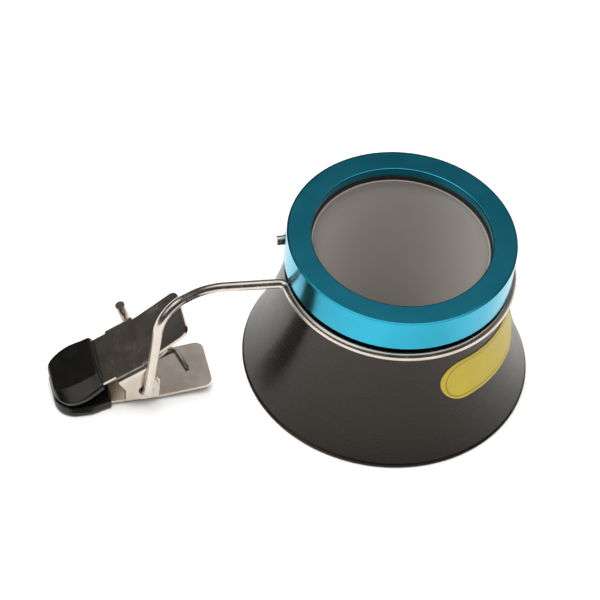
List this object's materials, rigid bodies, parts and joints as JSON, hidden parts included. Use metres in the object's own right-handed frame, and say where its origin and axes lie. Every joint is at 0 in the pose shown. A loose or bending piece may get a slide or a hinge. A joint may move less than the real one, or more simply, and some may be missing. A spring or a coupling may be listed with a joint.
{
  "type": "eyeglass loupe",
  "caption": "Clip-on eyeglass loupe: a flared black eyecup under a screwed lens cap, held by a bent wire ring and arm that hangs from a sprung clip with vinyl-tipped jaws.",
  "frame": {"origin": "centre of the eyecup's rim, in the plane that it stands on", "axes": "+Z along the lens axis, from the eye side to the object side; the arm and clip lie towards -X, turned towards -Y"},
  "size_m": [0.0592, 0.036, 0.0226],
  "materials": {
    "black_body": "satin black, fine turned texture",
    "teal_anodised": "teal anodised, satin turned",
    "black_rubber": "matt",
    "lens_glass": "polished",
    "black_spacer": "matt, anti-glare",
    "yellow_label": "coated paper",
    "bright_wire": "nickel-plated steel wire",
    "nickel_sheet": "nickel-plated stamped steel",
    "black_vinyl": "dipped vinyl, glossy",
    "spring_steel": "drawn spring wire"
  },
  "bodies": {
    "eyecup": {"eyecup": "black_body", "front_lens": "lens_glass", "lens_spacer": "black_spacer", "rear_lens": "lens_glass", "flank_label": "yellow_label"},
    "gasket": {"lens_gasket": "black_rubber"},
    "cap": {"lens_cap": "teal_anodised"},
    "wire": {"wire_frame": "bright_wire"},
    "clip": {"lower_jaw": "nickel_sheet", "lower_boot": "black_vinyl", "jaw_spring": "spring_steel"},
    "upper_jaw": {"upper_jaw": "nickel_sheet", "upper_boot": "black_vinyl"}
  },
  "joints": [
    {"name": "cap_lift", "type": "slide", "parent": "eyecup", "child": "gasket", "axis": [0, 0, 1], "range_m": [0, 0.003]},
    {"name": "cap_turn", "type": "hinge", "parent": "gasket", "child": "cap", "pos_m": [0, 0, 0.0202], "axis": [0, 0, 1], "range_deg": [0, 1441]},
    {"name": "ring_swivel", "type": "hinge", "parent": "eyecup", "child": "wire", "pos_m": [0, 0, 0.01675], "axis": [0, 0, 1], "continuous": true},
    {"name": "clip_tilt", "type": "hinge", "parent": "wire", "child": "clip", "pos_m": [-0.02977, -0.01011, 0.0033], "axis": [-0.3502, 0.9367, 0], "range_deg": [-60, 50]},
    {"name": "jaw_open", "type": "hinge", "parent": "clip", "child": "upper_jaw", "pos_m": [-0.02977, -0.01011, 0.0033], "axis": [-0.3502, 0.9367, 0], "range_deg": [0, 30], "stiffness_Nm_per_rad": 0.02, "springref_deg": -28.65, "deforming": ["jaw_spring"]}
  ],
  "couplings": [
    {"joint": "cap_turn", "follows": "cap_lift", "rad_per_m": 8377.6}
  ]
}
